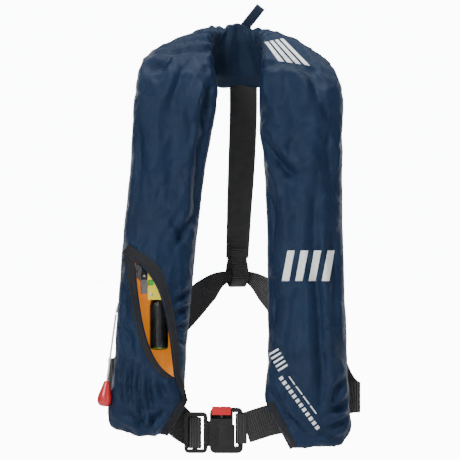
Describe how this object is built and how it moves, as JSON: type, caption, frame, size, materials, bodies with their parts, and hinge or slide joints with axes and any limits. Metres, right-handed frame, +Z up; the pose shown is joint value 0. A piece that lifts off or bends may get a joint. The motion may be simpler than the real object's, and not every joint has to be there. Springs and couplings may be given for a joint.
{
  "type": "inflatable life jacket",
  "caption": "Horseshoe inflatable life jacket with folded bladder, gas inflator, pull toggle, oral tube, waist belt with side-release buckle and back strap, hanging from its neck.",
  "frame": {"origin": "the neck_rest mount: the point of the collar's lining where the nape of the neck bears and the jacket hangs", "axes": "+Z up; the front of the chest lobes faces -Y; +X is the wearer's left, on the right as seen from the front"},
  "size_m": [0.33, 0.1531, 0.5674],
  "materials": {
    "cover_cloth": "navy woven nylon with a slight sheen",
    "loop_tape": "dark navy folded tape",
    "lining_cloth": "near-black woven lining",
    "binding_tape": "dark grey ribbed binding",
    "closure_tape": "black hook and loop",
    "webbing": "black ribbed webbing",
    "bladder_cloth": "coated orange fabric",
    "reflective": "silver retro-reflective film",
    "black_plastic": "moulded black, fine texture",
    "red_plastic": "red, satin",
    "toggle_plastic": "red, glossy",
    "yellow_plastic": "pale yellow, satin",
    "green_plastic": "green, satin",
    "orange_plastic": "orange, satin",
    "steel": "plated steel",
    "cylinder_paint": "gloss black paint",
    "seal_rubber": "matte black rubber",
    "cord_white": "white braided cord"
  },
  "bodies": {
    "jacket": {"cover_left_upper_panel": "cover_cloth", "cover_left_lower_panel": "cover_cloth", "cover_right_panel": "cover_cloth", "cover_collar_panel": "cover_cloth", "hang_loop": "loop_tape", "lining_left_panel": "lining_cloth", "lining_right_panel": "lining_cloth", "lining_collar_panel": "lining_cloth", "binding_upper_panel": "binding_tape", "binding_lower_panel": "binding_tape", "binding_corner_left": "binding_tape", "binding_corner_right": "binding_tape", "closure_hook_left": "closure_tape", "closure_loop_left": "closure_tape", "closure_hook_right": "closure_tape", "closure_loop_right": "closure_tape", "back_strap": "webbing", "back_strap_loop": "webbing", "side_strap_left": "webbing", "side_strap_right": "webbing", "belt_left": "webbing", "belt_right_back": "webbing", "belt_right_span": "webbing", "belt_guide_left": "webbing", "belt_guide_right": "webbing", "side_slider_left": "black_plastic", "side_slider_right": "black_plastic", "buckle_male": "black_plastic", "bladder": "bladder_cloth", "bladder_manifold": "black_plastic", "bladder_reflective_patch": "reflective", "cylinder_gasket": "seal_rubber", "inflator_body": "black_plastic", "inflator_front_cover": "yellow_plastic", "status_indicator": "green_plastic", "lever_pin": "steel", "oral_tube": "seal_rubber", "oral_valve": "black_plastic", "whistle": "orange_plastic"},
    "buckle_half": {"buckle_female": "black_plastic", "belt_right_loop": "webbing", "button_spring": "steel"},
    "button": {"release_button": "red_plastic"},
    "pull_line": {"pull_cord_upper": "cord_white"},
    "toggle": {"pull_cord": "cord_white", "pull_toggle": "toggle_plastic"},
    "lever": {"firing_lever": "black_plastic"},
    "pin": {"piercing_pin": "steel"},
    "cylinder": {"gas_cylinder": "cylinder_paint"},
    "sensor_cap": {"water_sensor_cap": "black_plastic"},
    "valve_cap": {"oral_valve_cap": "red_plastic"}
  },
  "joints": [
    {"name": "buckle_release", "type": "slide", "parent": "jacket", "child": "buckle_half", "axis": [1, 0, 0], "range_m": [0, 0.026], "deforming": ["belt_right_span"]},
    {"name": "button_press", "type": "slide", "parent": "buckle_half", "child": "button", "axis": [0, 0, -1], "range_m": [0, 0.0028], "stiffness_N_per_m": 300, "deforming": ["button_spring"]},
    {"name": "toggle_pull", "type": "slide", "parent": "jacket", "child": "pull_line", "axis": [-0.1313, -0.0828, -0.9879], "range_m": [0, 0.028]},
    {"name": "toggle_swing", "type": "hinge", "parent": "pull_line", "child": "toggle", "pos_m": [-0.1525, -0.0865, -0.3175], "axis": [0, 1, 0], "range_deg": [0, 45]},
    {"name": "lever_turn", "type": "hinge", "parent": "jacket", "child": "lever", "pos_m": [-0.117, -0.09, -0.27], "axis": [0, -1, 0], "range_deg": [0, 60]},
    {"name": "pin_drop", "type": "slide", "parent": "jacket", "child": "pin", "axis": [0, 0, -1], "range_m": [0, 0.0029]},
    {"name": "cylinder_turn", "type": "hinge", "parent": "jacket", "child": "cylinder", "pos_m": [-0.0988, -0.09, -0.33], "axis": [0, 0, 1], "continuous": true},
    {"name": "sensor_cap_turn", "type": "hinge", "parent": "jacket", "child": "sensor_cap", "pos_m": [-0.0988, -0.09, -0.257], "axis": [0, 0, 1], "continuous": true},
    {"name": "valve_cap_pull", "type": "slide", "parent": "jacket", "child": "valve_cap", "axis": [0, 0, 1], "range_m": [0, 0.012]}
  ],
  "couplings": [
    {"joint": "lever_turn", "follows": "toggle_pull", "rad_per_m": 37},
    {"joint": "pin_drop", "follows": "toggle_pull", "ratio": 0.1}
  ]
}
